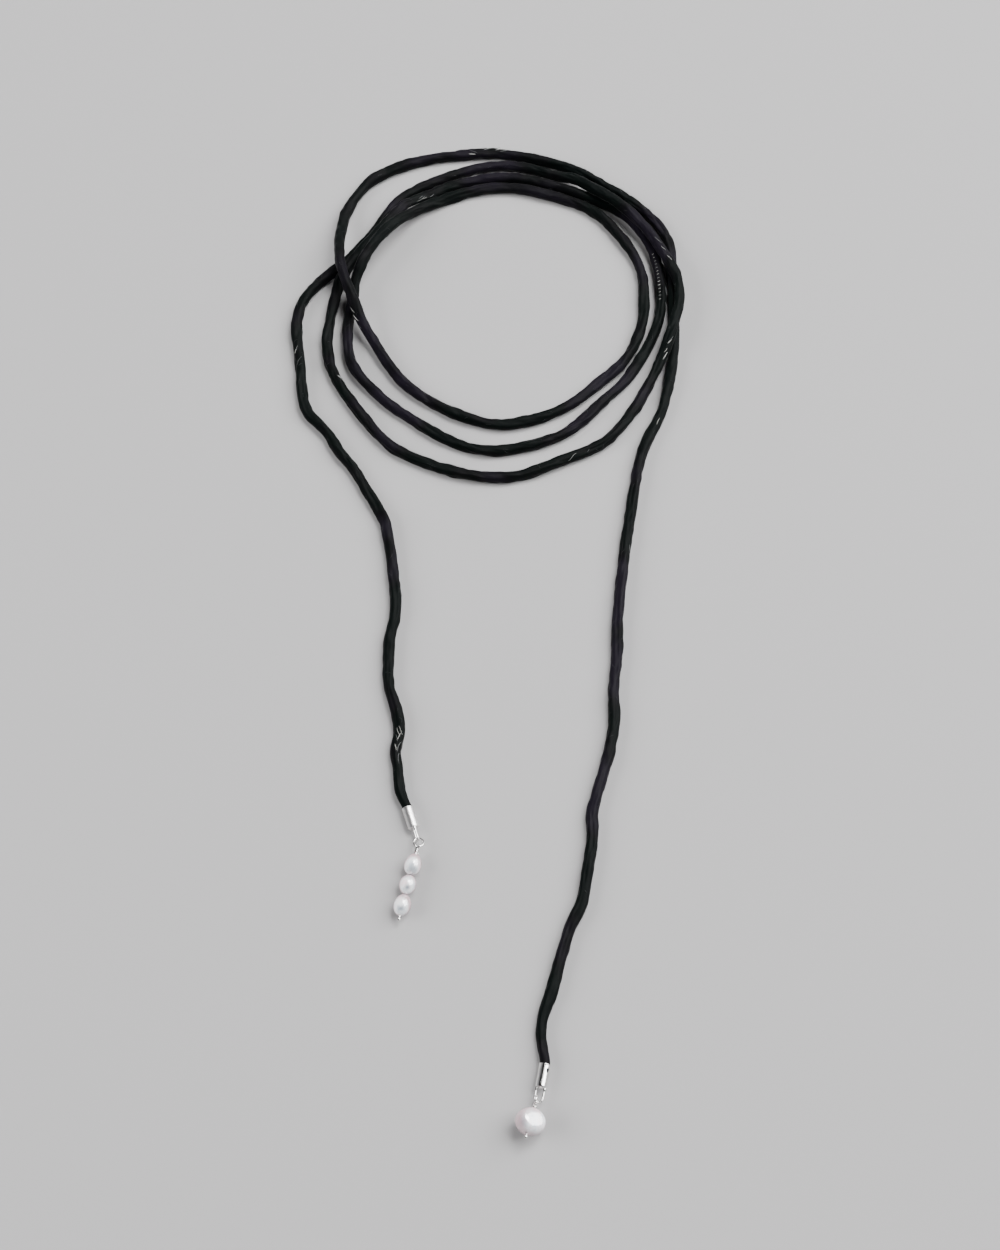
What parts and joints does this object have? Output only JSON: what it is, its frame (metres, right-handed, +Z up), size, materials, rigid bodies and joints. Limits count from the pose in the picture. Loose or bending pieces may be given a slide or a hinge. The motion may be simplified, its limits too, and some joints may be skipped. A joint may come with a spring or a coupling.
{
  "type": "cord choker",
  "caption": "Long black silk cord lying in loose turns with two tails, each ending in a silver cap with pearls hung on a ball-head pin.",
  "frame": {"origin": "on the surface, under the middle of the whole outline", "axes": "+Y from the free ends towards the turns, +Z up from the surface"},
  "size_m": [0.1074, 0.2797, 0.0094],
  "materials": {
    "silk": "rolled silk, softly sheened",
    "silver": "polished silver with fine handling marks",
    "pearl": "white nacre, glossy"
  },
  "bodies": {
    "root": {"cord_trio_tail": "silk", "cord_outer_turn": "silk", "cord_middle_turn": "silk", "cord_inner_turn": "silk", "cord_top_turn": "silk", "cord_drop_tail": "silk", "end_cap_trio": "silver", "end_cap_drop": "silver", "pin_trio": "silver", "pin_drop": "silver", "pearl_trio_upper": "pearl", "pearl_trio_middle": "pearl", "pearl_trio_lower": "pearl", "pearl_drop": "pearl"}
  },
  "joints": []
}
